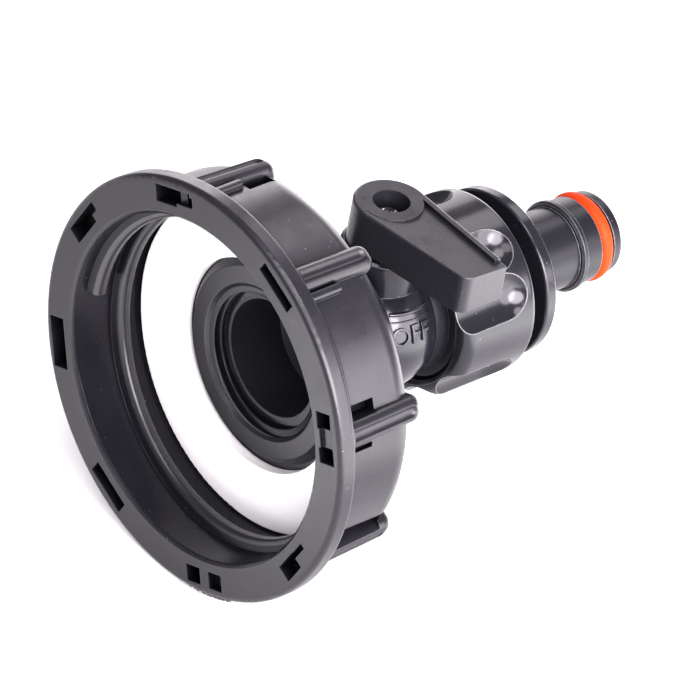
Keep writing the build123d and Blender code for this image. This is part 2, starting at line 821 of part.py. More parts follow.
# Scalloped nut: four pairs of spoon-shaped flutes, open towards the ball housing
with BuildPart() as swivel_nut:
    revolve(
        half_section(
            (nut_front, nut_bore_r + nut_lead_in),
            (nut_front, nut_r),
            (nut_rear, nut_r),
            (nut_rear, spigot_hole_r),
            (nut_wall_front, spigot_hole_r),
            (nut_wall_front, nut_bore_r),
            (nut_front + nut_lead_in, nut_bore_r),
        ),
        axis=Axis.X,
    )
    fillet(rings_at(swivel_nut, nut_front, nut_r), radius=nut_front_round)
    fillet(rings_at(swivel_nut, nut_rear, nut_r), radius=nut_rear_round)
    cutter_offset = nut_r - flute_depth + flute_cutter_r
    spoon_reach = sqrt(flute_cutter_r**2 - (cutter_offset - nut_r) ** 2)
    cutter_end = nut_rear - flute_tip_setback - spoon_reach
    for pair in range(flute_pairs):
        for step in range(2):
            angle = flute_pair_phase + pair * 360 / flute_pairs + step * flute_step
            with BuildSketch(rim_plane(cutter_end, angle)):
                with Locations((0, cutter_offset)):
                    Circle(flute_cutter_r)
            extrude(amount=-nut_length, mode=Mode.SUBTRACT)
            a = radians(angle)
            with Locations((cutter_end, cutter_offset * cos(a), cutter_offset * sin(a))):
                Sphere(flute_cutter_r, mode=Mode.SUBTRACT)
save(swivel_nut, "swivel_nut")

# Flat washer between the outlet and the nipple
with BuildPart() as nipple_washer:
    with BuildSketch(Plane.YZ.offset(outlet_face)):
        Circle(nut_bore_r - nipple_washer_rim_gap)
        Circle(spigot_bore_r + nipple_washer_hole_gap, mode=Mode.SUBTRACT)
    extrude(amount=nipple_washer_thick)
save(nipple_washer, "nipple_washer")

# Split ring that holds the nipple inside the nut
with BuildPart() as snap_ring:
    with BuildSketch(Plane.YZ.offset(snap_ring_front)):
        Circle(snap_ring_r)
        Circle(spigot_r - snap_groove_depth + seal_gap, mode=Mode.SUBTRACT)
        with BuildLine():
            half_mouth = radians(snap_ring_mouth / 2)
            mouth_reach = 2 * snap_ring_r
            Polyline(
                (0, 0),
                (mouth_reach * sin(half_mouth), -mouth_reach * cos(half_mouth)),
                (-mouth_reach * sin(half_mouth), -mouth_reach * cos(half_mouth)),
                close=True,
            )
        make_face(mode=Mode.SUBTRACT)
    extrude(amount=snap_ring_thick)
save(snap_ring, "snap_ring")

# Hose nipple: spigot in the nut, grip disc, neck, locking ridge, ring groove and nose
with BuildPart() as hose_nipple:
    snap_groove_r = spigot_r - snap_groove_depth
    o_groove_r = o_ring_r - o_ring_wire_r - seal_gap
    revolve(
        half_section(
            (nipple_end, spigot_bore_r),
            (nipple_end, spigot_r),
            (snap_ring_front - seal_gap, spigot_r),
            (snap_ring_front - seal_gap, snap_groove_r),
            (snap_ring_rear + seal_gap, snap_groove_r),
            (snap_ring_rear + seal_gap, spigot_r),
            (disc_front, spigot_r),
            (disc_front, disc_r),
            (disc_rear, disc_r),
            (disc_rear, collar_r),
            (collar_rear, collar_r),
            (neck_start, nipple_neck_r),
            (ridge_front, nipple_neck_r),
            (ridge_front, ridge_r - ridge_chamfer),
            (ridge_front + ridge_chamfer, ridge_r),
            (ridge_rear - ridge_chamfer, ridge_r),
            (ridge_rear, ridge_r - ridge_chamfer),
            (ridge_rear, barrel_r),
            (groove_front, barrel_r),
            (groove_front, o_groove_r),
            (groove_rear, o_groove_r),
            (groove_rear, nose_r),
            (nipple_tip, nose_r),
            (nipple_tip, tip_bore_r),
            (ridge_rear + bore_taper, tip_bore_r),
            (ridge_rear, neck_bore_r),
            (collar_rear, neck_bore_r),
            (disc_front, spigot_bore_r),
        ),
        axis=Axis.X,
    )
    fillet(rings_at(hose_nipple, nipple_tip, nose_r), radius=nose_round)
    fillet(rings_at(hose_nipple, disc_front, disc_r), radius=disc_round)
    fillet(rings_at(hose_nipple, disc_rear, disc_r), radius=disc_round)
save(hose_nipple, "hose_nipple")

with BuildPart() as nipple_o_ring:
    with BuildSketch(Plane.XZ):
        with Locations(((groove_front + groove_rear) / 2, o_ring_r)):
            Circle(o_ring_wire_r)
    revolve(axis=Axis.X)
save(nipple_o_ring, "nipple_o_ring")

print(f"stem at x {stem_x:.2f}, nut {nut_front:.2f} to {nut_rear:.2f}, tip at x {nipple_tip:.2f}")
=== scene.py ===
# %% [markdown]
# # Dressing a tap adapter for a bulk liquid container
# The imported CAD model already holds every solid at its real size: a coarse-threaded cap, a
# small ball valve with a lever, and a hose nipple behind a scalloped nut. This lesson gives
# each solid its plastic, rubber or steel, adds the fine details that moulding leaves, and
# photographs it as a studio would. Everything is in metres, and X runs along the flow.

# %% Load the frame
import json
import math

import bmesh
import bpy
from mathutils import Euler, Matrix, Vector


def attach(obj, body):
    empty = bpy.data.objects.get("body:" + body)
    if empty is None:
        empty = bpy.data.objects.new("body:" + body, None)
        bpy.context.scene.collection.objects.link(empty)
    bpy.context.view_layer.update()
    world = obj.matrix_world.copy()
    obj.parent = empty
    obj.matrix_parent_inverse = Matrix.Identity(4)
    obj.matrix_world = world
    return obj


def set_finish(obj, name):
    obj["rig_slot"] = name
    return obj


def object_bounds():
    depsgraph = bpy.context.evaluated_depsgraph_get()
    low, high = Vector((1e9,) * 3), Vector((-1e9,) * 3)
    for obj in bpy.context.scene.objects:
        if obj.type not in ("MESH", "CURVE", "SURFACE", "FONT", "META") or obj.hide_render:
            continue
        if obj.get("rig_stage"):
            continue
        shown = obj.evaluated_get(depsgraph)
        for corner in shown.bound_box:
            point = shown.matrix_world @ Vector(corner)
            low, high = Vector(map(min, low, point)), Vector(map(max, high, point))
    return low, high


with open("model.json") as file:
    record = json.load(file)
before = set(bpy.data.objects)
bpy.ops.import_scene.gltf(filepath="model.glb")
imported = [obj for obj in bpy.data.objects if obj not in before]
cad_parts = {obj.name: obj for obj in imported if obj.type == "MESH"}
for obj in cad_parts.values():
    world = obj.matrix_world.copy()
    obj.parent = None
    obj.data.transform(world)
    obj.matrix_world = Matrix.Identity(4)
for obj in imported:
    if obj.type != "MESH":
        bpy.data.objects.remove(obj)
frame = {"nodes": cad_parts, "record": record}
cad_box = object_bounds()
nodes = frame["nodes"]
MM = 0.001
print("nodes:", len(nodes), "length:", round((cad_box[1][0] - cad_box[0][0]) / MM, 1), "mm")


# %% [markdown]
# ## Camera
# The photograph was taken with a very long lens from above the open cap, so the far end of
# the nipple looks almost as large as the near rim. A 411 mm lens at 1.3 m gives that flat
# perspective. A shorter lens from nearer by would fit the rim, but then the nipple would
# shrink. The place and turn were worked out from the rings of the cap.

# %% Camera
CAMERA_PLACE = (-769.78 * MM, -742.22 * MM, 779.36 * MM)
CAMERA_TURN = (53.9316, -8.6118, -41.1445)
LENS_MM = 411.43
SENSOR_MM = 36.0
FARTHEST_SEEN = 20.0

camera_data = bpy.data.cameras.new("camera")
camera_data.lens = LENS_MM
camera_data.sensor_width = SENSOR_MM
camera_data.sensor_fit = "HORIZONTAL"
camera_data.clip_end = FARTHEST_SEEN
camera = bpy.data.objects.new("camera", camera_data)
camera.location = CAMERA_PLACE
camera.rotation_euler = Euler([math.radians(turn) for turn in CAMERA_TURN])
bpy.context.scene.collection.objects.link(camera)
bpy.context.scene.camera = camera
print("camera to origin:", round(Vector(CAMERA_PLACE).length, 3), "m")


# %% [markdown]
# ## Wiring shader nodes
# The table and all the plastics are made of small networks of nodes. Each helper here adds
# one kind of node, takes plain values or the outputs of other nodes, and gives back an
# output, so that a network reads like a sum from the inside out.

# %% Helpers for nodes
def plug(tree, value, socket):
    """Feed a socket from another node's output, or set it to a plain value."""
    if isinstance(value, bpy.types.NodeSocket):
        tree.links.new(value, socket)
    else:
        socket.default_value = value


def add_node(tree, kind, **values):
    """Add a shader node and feed its sockets by name; an underscore stands for a space."""
    node = tree.nodes.new("ShaderNode" + kind)
    for name, value in values.items():
        plug(tree, value, node.inputs[name.replace("_", " ")])
    return node


def maths(tree, operation, first, second=None, kind="Math", output="Value"):
    """Work out one value or vector from two."""
    node = tree.nodes.new("ShaderNode" + kind)
    node.operation = operation
    plug(tree, first, node.inputs[0])
    if second is not None:
        plug(tree, second, node.inputs[1])
    return node.outputs[output]


def spread(tree, value, low, high, to_low, to_high, smooth=False):
    """Map a value from one range to another, evenly or with soft ends."""
    node = add_node(
        tree,
        "MapRange",
        Value=value,
        From_Min=low,
        From_Max=high,
        To_Min=to_low,
        To_Max=to_high,
    )
    if smooth:
        node.interpolation_type = "SMOOTHSTEP"
    return node.outputs["Result"]


def object_place(tree):
    """Each point's place on the object itself, so that a pattern moves with its piece."""
    return add_node(tree, "TexCoord").outputs["Object"]


# %% [markdown]
# ## Glowing table
# A product like this is shot on a white table so bright that it burns out to pure white and
# leaves only faint shadows. A white floor under lamps alone would look grey round the piece,
# so this floor gives off light of its own. Black plastic shows little but reflections, and
# the table is a large part of what it mirrors. So it glows faintly on the left, strongly on
# the right, and less again far away, with one bright patch before the cap's open mouth.

# %% Levels of the table's glow
GLOW_LEFT = 0.22
GLOW_RIGHT = 4.4
GLOW_FAR = 0.35
PATCH_GLOW = 2.3
# Where each change begins and ends, along the way to the right or away from the patch
TO_THE_RIGHT = (0.76, -0.65, 0.0)
GLOW_RISE = (85.0 * MM, 150.0 * MM)
GLOW_FALL = (220.0 * MM, 550.0 * MM)
PATCH_MIDDLE = (-62.0 * MM, 12.0 * MM, 0.0)
PATCH_FADE = (12.0 * MM, 65.0 * MM)
print("table glow:", GLOW_LEFT, "to", GLOW_RIGHT)

# %% Floor
FLOOR_SIZE = 6.0
FLOOR_GAP = 0.05 * MM

floor_height = cad_box[0][2] - FLOOR_GAP
bpy.ops.object.select_all(action="DESELECT")
bpy.ops.mesh.primitive_plane_add(size=FLOOR_SIZE, location=(0.0, 0.0, floor_height))
floor = bpy.context.object
floor.name = "floor"
floor_paint = bpy.data.materials.new("glowing_table")
floor_paint.use_nodes = True
floor.data.materials.append(floor_paint)
floor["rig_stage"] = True
print("floor at", round(floor_height / MM, 2), "mm")

# %% Glow
TABLE_GREY = (0.6, 0.6, 0.6, 1.0)
TABLE_ROUGHNESS = 0.9
WHITE = (1.0, 1.0, 1.0, 1.0)

table = floor_paint.node_tree
table_place = object_place(table)
rightward = maths(table, "DOT_PRODUCT", table_place, TO_THE_RIGHT, "VectorMath")
near_glow = spread(table, rightward, *GLOW_RISE, GLOW_LEFT, GLOW_RIGHT, smooth=True)
far_fade = spread(table, rightward, *GLOW_FALL, 1.0, GLOW_FAR, smooth=True)
level = maths(table, "MULTIPLY", near_glow, far_fade)
patch_reach = maths(table, "DISTANCE", table_place, PATCH_MIDDLE, "VectorMath")
patch_glow = spread(table, patch_reach, *PATCH_FADE, PATCH_GLOW, 0.0, smooth=True)
table_shader = table.nodes["Principled BSDF"].inputs
table_shader["Base Color"].default_value = TABLE_GREY
table_shader["Roughness"].default_value = TABLE_ROUGHNESS
table_shader["Emission Color"].default_value = WHITE
plug(table, maths(table, "ADD", level, patch_glow), table_shader["Emission Strength"])
print("nodes in the table's glow:", len(table.nodes))


# %% [markdown]
# ## Studio light
# Round black pieces are drawn by the soft boxes that they mirror. A large one at the front
# right gives the broad highlight along the cap, the nut and the lever's end, and a lower one
# beside it fills the sides. One in front and one overhead light the flange and what lies
# inside the cap. Behind stand three weaker ones, which the tops of the cap, the lever and
# the nut mirror. The gaps between them give each round piece its dark bands. The boxes
# are elliptical, because a rectangle would show its corners in the glossy nut.

# %% Levels of the light
SKY = 0.55
TINT = (1.0, 0.955, 1.0)
CONTRAST = 0.86
AIM = Vector((40.0 * MM, 0.0, 0.0))
# Name, turn round Z from +X, height angle, distance, width and height, brightness
SOFT_BOXES = [
    ("key_box", -110.0, 29.0, 0.8, (0.74, 0.58), 17.0),
    ("right_box", -78.0, 14.0, 0.7, (0.76, 0.72), 9.5),
    ("front_box", -165.0, 52.0, 0.8, (0.50, 0.40), 5.0),
    ("back_box", 42.0, 12.0, 0.7, (0.80, 0.40), 3.3),
    ("cap_box", 60.5, 30.5, 0.30, (0.11, 0.10), 4.5),
    ("rim_box", 22.0, 50.0, 0.7, (0.30, 0.30), 4.0),
    ("top_box", -120.0, 76.0, 0.9, (0.50, 0.50), 8.0),
]
print("sky:", SKY, "tint:", TINT)


# %% Soft boxes
def soft_box(name, turn, height, distance, size, brightness):
    """An area light on a sphere round the valve, turned to look at it; angles in degrees."""
    turn, height = math.radians(turn), math.radians(height)
    flat = math.cos(height)
    way = Vector((math.cos(turn) * flat, math.sin(turn) * flat, math.sin(height)))
    data = bpy.data.lights.new(name, "AREA")
    data.shape = "ELLIPSE"
    data.size, data.size_y = size
    data.color = TINT
    data.energy = brightness * math.pi * math.pi / 4 * size[0] * size[1]
    light = bpy.data.objects.new(name, data)
    light.location = AIM + way * distance
    light.rotation_euler = (-way).to_track_quat("-Z", "Y").to_euler()
    bpy.context.scene.collection.objects.link(light)


for box in SOFT_BOXES:
    soft_box(*box)
print("soft boxes:", len(SOFT_BOXES))

# %% Sky and film
world = bpy.data.worlds.new("studio")
bpy.context.scene.world = world
world.use_nodes = True
background = world.node_tree.nodes["Background"]
background.inputs["Color"].default_value = (*TINT, 1.0)
background.inputs["Strength"].default_value = SKY
view = bpy.context.scene.view_settings
view.view_transform = "Standard"
view.gamma = CONTRAST
print("view:", view.view_transform, "gamma:", round(view.gamma, 2))


# %% [markdown]
# ## Working on a mesh
# Blender's operators act on whatever is selected. So each new piece starts with nothing
# selected, its faces or points are picked by their place, and at the end its place goes into
# its mesh. The last helper also tells which body the piece rides on and which plastic it is.

# %% Helpers for modelling
SMOOTH_ANGLE = 30.0
own_pieces = []


def start_fresh():
    """Deselect everything, so that what follows acts on the new piece alone."""
    bpy.ops.object.select_all(action="DESELECT")


def edit_all():
    """Open the mesh for editing with all of it selected."""
    bpy.ops.object.mode_set(mode="EDIT")
    bpy.ops.mesh.select_all(action="SELECT")


def close_edit():
    """Go back to object mode."""
    bpy.ops.object.mode_set(mode="OBJECT")


def place_in_mesh():
    """Move the object's place, turn and scale into its mesh."""
    bpy.ops.object.transform_apply(location=True, rotation=True, scale=True)


def pick_points(piece, rule):
    """In edit mode, select only the points that meet a rule."""
    mesh = bmesh.from_edit_mesh(piece.data)
    for group in (mesh.verts, mesh.edges, mesh.faces):
        for item in group:
            item.select = False
    for point in mesh.verts:
        if rule(point):
            point.select_set(True)
    bmesh.update_edit_mesh(piece.data)


def settle(piece, body, slot_name):
    """Put the piece's place into its mesh, smooth it, and let it ride on its body."""
    start_fresh()
    piece.select_set(True)
    bpy.context.view_layer.objects.active = piece
    place_in_mesh()
    edit_all()
    bpy.ops.mesh.normals_make_consistent(inside=False)
    close_edit()
    bpy.ops.object.shade_smooth_by_angle(angle=math.radians(SMOOTH_ANGLE))
    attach(piece, body)
    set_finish(piece, slot_name)
    own_pieces.append(piece)
    print(piece.name, "faces:", len(piece.data.polygons))


# %% [markdown]
# ## Fine thread in the boss
# The valve's inlet is screwed into the cap's boss. Only one turn of that fine pipe thread
# shows, between the boss's lead-in and the end of the inlet tube. On the real cap the mould
# core forms it. Stacked rings would be quicker, but their lines wouldn't climb as a thread's
# do. So one tooth is drawn as a small plane with a narrowed crest, the Screw modifier sweeps
# its outline round X, and two cuts trim it to the visible part.

# %% One tooth
BOSS_WALL = 13.35 * MM
TOOTH_TOP = 12.15 * MM
TOOTH_BASE = 1.35 * MM
TOOTH_CREST = 0.30
THREAD_START = 14.4 * MM

start_fresh()
tooth_middle = (BOSS_WALL + TOOTH_TOP) / 2
bpy.ops.mesh.primitive_plane_add(
    size=1.0,
    location=(THREAD_START, 0.0, tooth_middle),
    rotation=(math.radians(90.0), 0.0, 0.0),
)
boss_thread = bpy.context.object
boss_thread.name = "boss_thread"
boss_thread.scale = (TOOTH_BASE, BOSS_WALL - TOOTH_TOP, 1.0)
place_in_mesh()
bpy.ops.object.mode_set(mode="EDIT")
pick_points(boss_thread, lambda point: point.co.z < tooth_middle)
bpy.ops.transform.resize(
    value=(TOOTH_CREST, 1.0, 1.0), center_override=(THREAD_START, 0.0, TOOTH_TOP)
)
bpy.ops.mesh.select_all(action="SELECT")
bpy.ops.mesh.delete(type="ONLY_FACE")
close_edit()
print("tooth height:", round((BOSS_WALL - TOOTH_TOP) / MM, 2), "mm")

# %% Swept and cut to length
THREAD_PITCH = 1.814 * MM
THREAD_TURNS = 2.6
STEPS_A_TURN = 96
THREAD_VISIBLE = (15.75 * MM, 17.86 * MM)

sweep = boss_thread.modifiers.new("sweep", "SCREW")
sweep.axis = "X"
sweep.angle = math.radians(360.0 * THREAD_TURNS)
sweep.screw_offset = THREAD_PITCH * THREAD_TURNS
sweep.steps = int(STEPS_A_TURN * THREAD_TURNS)
sweep.render_steps = sweep.steps
bpy.ops.object.modifier_apply(modifier="sweep")
bpy.ops.object.mode_set(mode="EDIT")
for cut, outward in zip(THREAD_VISIBLE, (-1.0, 1.0)):
    bpy.ops.mesh.select_all(action="SELECT")
    bpy.ops.mesh.bisect(
        plane_co=(cut, 0.0, 0.0), plane_no=(outward, 0.0, 0.0), use_fill=True, clear_outer=True
    )
close_edit()
settle(boss_thread, "cap", "cap_plastic")


# %% [markdown]
# ## The shut mark on the housing
# Raised letters under the lever tell that the valve is shut. The mould has them engraved, so
# on the part they stand up with crisp edges. Text is flat and the housing is a ball, and a
# picture of the word would have no edges to catch the light. So the word is made a mesh, cut
# into small faces that can bend, laid on the housing by the Shrinkwrap modifier, and then
# given its thickness by Solidify.

# %% The word, flat in front of the housing
LETTER_SIZE = 4.2 * MM
LETTER_BOLD = 0.05 * MM
MARK_SIZE = (7.4 * MM, 3.3 * MM)
MARK_X = 38.6 * MM
MARK_TURN = math.radians(158.7)
MARK_STANDOFF = 13.6 * MM

start_fresh()
bpy.ops.object.text_add(location=(0.0, 0.0, 0.0))
mark = bpy.context.object
mark.name = "shut_mark"
mark.data.body = "OFF"
mark.data.size = LETTER_SIZE
mark.data.offset = LETTER_BOLD
mark.data.align_x = "CENTER"
mark.data.align_y = "CENTER"
bpy.ops.object.convert(target="MESH")
bpy.context.view_layer.update()
mark.scale = (MARK_SIZE[0] / mark.dimensions.x, MARK_SIZE[1] / mark.dimensions.y, 1.0)
mark.location = (
    MARK_X, MARK_STANDOFF * math.cos(MARK_TURN), MARK_STANDOFF * math.sin(MARK_TURN)
)
mark.rotation_euler = (MARK_TURN - math.radians(90.0), 0.0, 0.0)
print("word:", [round(side / MM, 1) for side in MARK_SIZE], "mm")

# %% The word, laid on and thickened
WELD_REACH = 0.02 * MM
BEND_CUTS = 4
MARK_HEIGHT = 0.36 * MM

edit_all()
bpy.ops.mesh.remove_doubles(threshold=WELD_REACH)
bpy.ops.mesh.quads_convert_to_tris()
bpy.ops.mesh.subdivide(number_cuts=BEND_CUTS)
close_edit()
lay = mark.modifiers.new("lay", "SHRINKWRAP")
lay.target = nodes["valve_body"]
lay.wrap_method = "PROJECT"
lay.use_project_z = True
lay.use_negative_direction = True
lay.use_positive_direction = False
bpy.ops.object.modifier_apply(modifier="lay")
thicken = mark.modifiers.new("thicken", "SOLIDIFY")
thicken.thickness = 2 * MARK_HEIGHT
thicken.offset = 0.0
bpy.ops.object.modifier_apply(modifier="thicken")
settle(mark, "cap", "valve_plastic")


# %% [markdown]
# ## Arcs above the word
# A thick and a thin raised arc, engraved in the same mould, run round the foot of the turret
# just above the word. Each is a small disc spun round the lever's axis, at the height
# where the round housing meets its middle, so half of it stands out. A curve with a round
# profile would do as well, but the spin leaves a closed mesh at once.

# %% Arcs
STEM_X = 39.8 * MM
HOUSING_R = 12.2 * MM
ARC_START = math.radians(-118.0)
ARC_SWING = math.radians(50.0)
ARC_STEPS = 40
ARC_SIDES = 20
# Name, distance from the lever's axis, radius of the ridge
ARCS = [("shut_arc", 9.35 * MM, 0.34 * MM), ("shut_arc_thin", 10.15 * MM, 0.16 * MM)]

for name, reach, ridge in ARCS:
    start_fresh()
    height = math.sqrt(HOUSING_R**2 - reach**2)
    bpy.ops.mesh.primitive_circle_add(
        vertices=ARC_SIDES,
        radius=ridge,
        fill_type="NGON",
        location=(STEM_X + reach * math.cos(ARC_START), reach * math.sin(ARC_START), height),
        rotation=(math.radians(90.0), 0.0, ARC_START),
    )
    arc = bpy.context.object
    arc.name = name
    place_in_mesh()
    edit_all()
    bpy.ops.mesh.spin(
        steps=ARC_STEPS,
        angle=-ARC_SWING,
        center=(STEM_X, 0.0, height),
        axis=(0.0, 0.0, 1.0),
    )
    close_edit()
    settle(arc, "cap", "valve_plastic")


# %% [markdown]
# ## Flash on the rim
# Where the two halves of the mould meet at the cap's face, a little plastic squeezes out and
# tears off raggedly. It is too thin for the solids, and bump on the flange wouldn't show on
# its outline. So a thin upright strip is spun a few degrees round the flow, and its outer
# edge is then scattered a little, so that it looks torn.

# %% Strip of flash
FLANGE_R = 37.3 * MM
FLASH_FROM = math.radians(-116.0)
FLASH_SWING = math.radians(17.0)
FLASH_STEPS = 60
FLASH_X = 1.05 * MM
FLASH_THICK = 0.14 * MM
FLASH_REACH = 0.36 * MM
FLASH_ROOT = 0.30 * MM

start_fresh()
flash_middle = FLANGE_R + (FLASH_REACH - FLASH_ROOT) / 2
bpy.ops.mesh.primitive_plane_add(
    size=1.0,
    location=(
        FLASH_X, flash_middle * math.cos(FLASH_FROM), flash_middle * math.sin(FLASH_FROM)
    ),
    rotation=(FLASH_FROM, 0.0, 0.0),
)
flash = bpy.context.object
flash.name = "rim_flash"
flash.scale = (FLASH_THICK, FLASH_REACH + FLASH_ROOT, 1.0)
place_in_mesh()
edit_all()
bpy.ops.mesh.spin(
    steps=FLASH_STEPS,
    angle=-FLASH_SWING,
    center=(FLASH_X, 0.0, 0.0),
    axis=(1.0, 0.0, 0.0),
)
print("flash length:", round(FLANGE_R * FLASH_SWING / MM, 1), "mm")

# %% Torn edge
TEAR_REACH = 0.28 * MM
TEAR_EVENNESS = 0.3
TEAR_SEED = 4

pick_points(flash, lambda point: math.hypot(point.co.y, point.co.z) > FLANGE_R)
bpy.ops.transform.vertex_random(
    offset=TEAR_REACH, uniform=TEAR_EVENNESS, normal=0.0, seed=TEAR_SEED
)
close_edit()
settle(flash, "cap", "cap_plastic")


# %% [markdown]
# ## What makes plastic look moulded
# Moulded plastic is never one flat colour. Flow and cooling leave faint cloudy patches, the
# mould's skin leaves a fine grain, corners are a little round and rubbed paler, partly with
# painted highlight, dust settles on it, and painted shade darkens its nooks. Pictures of
# plastic would need unwrapping and would stretch on the threads, so all of it is built from
# noise on the object's own coordinates.

# %% Building blocks for a finish
BEVEL_SAMPLES = 6
# How alike the true and the rounded normal are on flat ground and at a corner
FLAT_LIKENESS = 0.985
CORNER_LIKENESS = 0.80


def noise(tree, place, scale, detail=3.0, roughness=0.5):
    """Cloudy noise; the scale is in waves to the metre."""
    return add_node(
        tree, "TexNoise", Vector=place, Scale=scale, Detail=detail, Roughness=roughness
    ).outputs["Fac"]


def blend(tree, factor, first, second):
    """Mix two colours, each a plain one or another node's."""
    mix = tree.nodes.new("ShaderNodeMix")
    mix.data_type = "RGBA"
    for socket, value in ((0, factor), (6, first), (7, second)):
        plug(tree, (*value, 1.0) if isinstance(value, tuple) else value, mix.inputs[socket])
    return mix.outputs[2]


def rounded_corners(tree, radius):
    """A softened normal, and a value that is high on corners."""
    bevel = add_node(tree, "Bevel", Radius=radius)
    bevel.samples = BEVEL_SAMPLES
    soft = bevel.outputs["Normal"]
    true = add_node(tree, "NewGeometry").outputs["Normal"]
    likeness = maths(tree, "DOT_PRODUCT", soft, true, "VectorMath")
    return soft, spread(tree, likeness, FLAT_LIKENESS, CORNER_LIKENESS, 0.0, 1.0)


# %% [markdown]
# ## Layers of one plastic
# The finish is laid on from the inside out: the cloudy body, the pale rubbed corners with their
# painted highlight, the dust, and last painted shade in the nooks, which the Ambient Occlusion
# node finds. It also dulls the nooks, because a deep corner mirrors only more black plastic.

# %% Colour layers
# Noise stays near its middle, so this part of its range is spread out
NOISE_RANGE = (0.3, 0.7)
CLOUD_WAVES = 110.0
RUB_AND_HIGHLIGHT_WAVES = 900.0
SPECK_WAVES = 2600.0
SPECK_EDGE = 0.02
DUST_COLOR = (0.35, 0.34, 0.33)
DUST_COVER = 0.7
RUB_AND_HIGHLIGHT_GAIN = 2.2


def cloudy(tree, place, color, mottle):
    """The body's colour in faint clouds, from a little darker to a little paler."""
    clouds = noise(tree, place, CLOUD_WAVES, detail=5.0, roughness=0.62)
    shade = spread(tree, clouds, *NOISE_RANGE, 0.0, 1.0)
    darker = tuple(c * (1.0 - mottle) for c in color)
    paler = tuple(c * (1.0 + mottle) for c in color)
    return blend(tree, shade, darker, paler)


def rubbed_and_highlit(tree, place, under, rim, color, edge_wear_and_highlight):
    """Corners rubbed paler and given painted highlight, more here and less there."""
    wear_and_highlight = maths(tree, "MULTIPLY", rim, noise(tree, place, RUB_AND_HIGHLIGHT_WAVES, roughness=0.6))
    # Partly wear, partly painted highlight: corners grow paler by the colour's gain plus the
    # edge value, and a large edge value draws bright lines.
    return blend(tree, wear_and_highlight, under, tuple(c * RUB_AND_HIGHLIGHT_GAIN + edge_wear_and_highlight for c in color))


def dusted(tree, place, under, dust):
    """Specks of dust; fewer where the limit is higher."""
    specks = noise(tree, place, SPECK_WAVES, detail=1.0, roughness=0.4)
    cover = spread(tree, specks, dust, dust + SPECK_EDGE, 0.0, DUST_COVER)
    return blend(tree, cover, under, DUST_COLOR)


# %% Moulded plastic
PLASTIC_IOR = 1.49
TOUCH_WAVES = 230.0
SKIN_WAVES = 2400.0
SKIN_STRENGTH = 0.5
NOOK_DEPTH = 4.0 * MM
NOOK_SAMPLES = 5
# How open a nook has to be to lose its painted shade, and to gain its full shine
NOOK_SHADE_RANGE = (0.20, 0.80)
SHINE_RANGE = (0.30, 0.85)
NOOK_SHINE = 0.12
OPEN_SHINE = 0.5
DULLEST = 1.2
GLOSSIEST = 0.82


def moulded(
    name,
    color,
    roughness,
    mottle=0.12,
    grain=0.010,
    corner=0.20,
    dust=0.80,
    edge_wear_and_highlight=0.01,
    nook_shade=0.2,
    shine=None,
):
    """A moulded piece's material; grain and corner in millimetres, shine set only if even."""
    paint = bpy.data.materials.new(name)
    paint.use_nodes = True
    tree = paint.node_tree
    shader = tree.nodes["Principled BSDF"].inputs
    shader["IOR"].default_value = PLASTIC_IOR
    place = object_place(tree)
    soft_normal, rim = rounded_corners(tree, corner * MM)
    body = rubbed_and_highlit(tree, place, cloudy(tree, place, color, mottle), rim, color, edge_wear_and_highlight)
    nook = add_node(tree, "AmbientOcclusion", Distance=NOOK_DEPTH)
    nook.samples = NOOK_SAMPLES
    nook.only_local = True
    open_air = spread(tree, nook.outputs["AO"], *NOOK_SHADE_RANGE, 0.0, 1.0)
    # Painted shade: where the Ambient Occlusion node finds a nook, the base colour darkens to a
    # fraction of the body's colour.
    shade_painted_body = blend(
        tree, open_air, tuple(c * nook_shade for c in color), dusted(tree, place, body, dust)
    )
    plug(tree, shade_painted_body, shader["Base Color"])
    if shine is None:
        shine = spread(tree, nook.outputs["AO"], *SHINE_RANGE, NOOK_SHINE, OPEN_SHINE)
    plug(tree, shine, shader["Specular IOR Level"])
    touch = noise(tree, place, TOUCH_WAVES, detail=4.0, roughness=0.7)
    polish = spread(tree, touch, *NOISE_RANGE, roughness * GLOSSIEST, roughness * DULLEST)
    plug(tree, polish, shader["Roughness"])
    bump = add_node(
        tree,
        "Bump",
        Strength=SKIN_STRENGTH,
        Distance=grain * MM,
        Height=noise(tree, place, SKIN_WAVES, detail=2.0),
        Normal=soft_normal,
    )
    plug(tree, bump.outputs["Normal"], shader["Normal"])
    return paint


# %% [markdown]
# ## Another polish inside
# The core of a mould is polished otherwise than its outside, so the cap's mouth, the
# valve's bores and the lever's hole have a shine of their own. The nipple, too, is duller
# than the nut of the same plastic. A second material would need its own faces, but each of
# these places lies within some distance of an axis, so that distance alone picks them out.

# %% Polish by distance from an axis
POLISH_BLUR = 0.1 * MM


def within(tree, reach, squash=(0.0, 1.0, 1.0), start=(0.0, 0.0, 0.0)):
    """1 within a reach from an axis, else 0: from X, or the axis that the squash leaves out."""
    shifted = maths(tree, "SUBTRACT", object_place(tree), start, "VectorMath", "Vector")
    flat = maths(tree, "MULTIPLY", shifted, squash, "VectorMath", "Vector")
    distance = maths(tree, "LENGTH", flat, kind="VectorMath")
    return spread(tree, distance, reach + POLISH_BLUR, reach - POLISH_BLUR, 0.0, 1.0)


def inner_polish(paint, reach, roughness, shine, **axis):
    """Give the surface within a reach from an axis another roughness and shine."""
    tree = paint.node_tree
    inside = within(tree, reach, **axis)
    for name, value in (("Roughness", roughness), ("Specular IOR Level", shine)):
        socket = tree.nodes["Principled BSDF"].inputs[name]
        mix = tree.nodes.new("ShaderNodeMix")
        for index, part in ((0, inside), (2, socket.links[0].from_socket), (3, value)):
            plug(tree, part, mix.inputs[index])
        plug(tree, mix.outputs[0], socket)


# %% [markdown]
# ## Turning lines in the cap's mouth
# The core that forms the mouth was turned on a lathe, and its faint rings show in the
# plastic. They are far too shallow to model. So noise is stretched along the flow and wound
# round it, one value for each ring, and only bumps the light, within the mouth alone.

# %% Turning lines
RINGS_A_METRE = 2600.0


